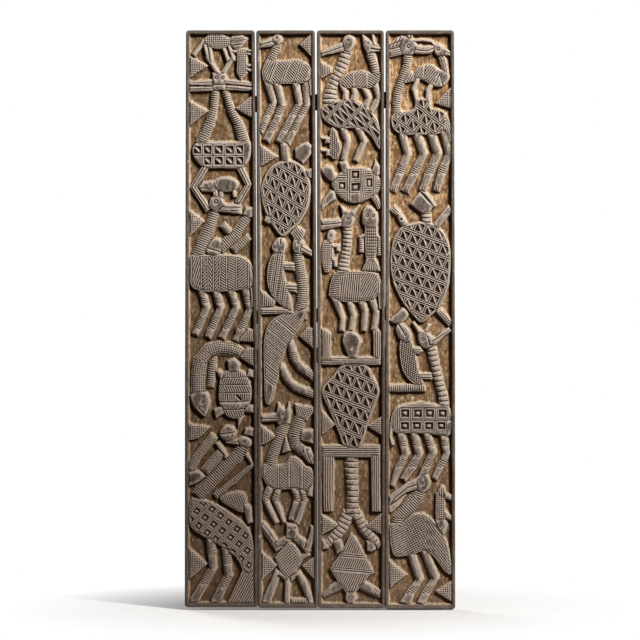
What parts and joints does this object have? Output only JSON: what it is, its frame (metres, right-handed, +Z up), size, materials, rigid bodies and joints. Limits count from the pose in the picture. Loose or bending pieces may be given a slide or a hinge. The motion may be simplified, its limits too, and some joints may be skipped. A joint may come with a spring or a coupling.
{
  "type": "carved door panel",
  "caption": "Upright wooden door panel of joined planks, carved in flat relief with rows of long-necked birds, tortoises, lizards and horned animals, on plain cross battens.",
  "frame": {"origin": "middle of the upper batten's back face, in the wall plane", "axes": "+Y into the wall, away from the carved face; +Z up the planks; +X to the viewer's right"},
  "size_m": [0.8116, 0.0603, 1.737],
  "materials": {
    "carved_wood": "weathered, dusty, unvarnished",
    "batten_wood": "dark, rough"
  },
  "bodies": {
    "root": {"board_1": "carved_wood", "board_2": "carved_wood", "board_3": "carved_wood", "board_4": "carved_wood", "upper_batten": "batten_wood", "middle_batten": "batten_wood", "lower_batten": "batten_wood"}
  },
  "joints": []
}
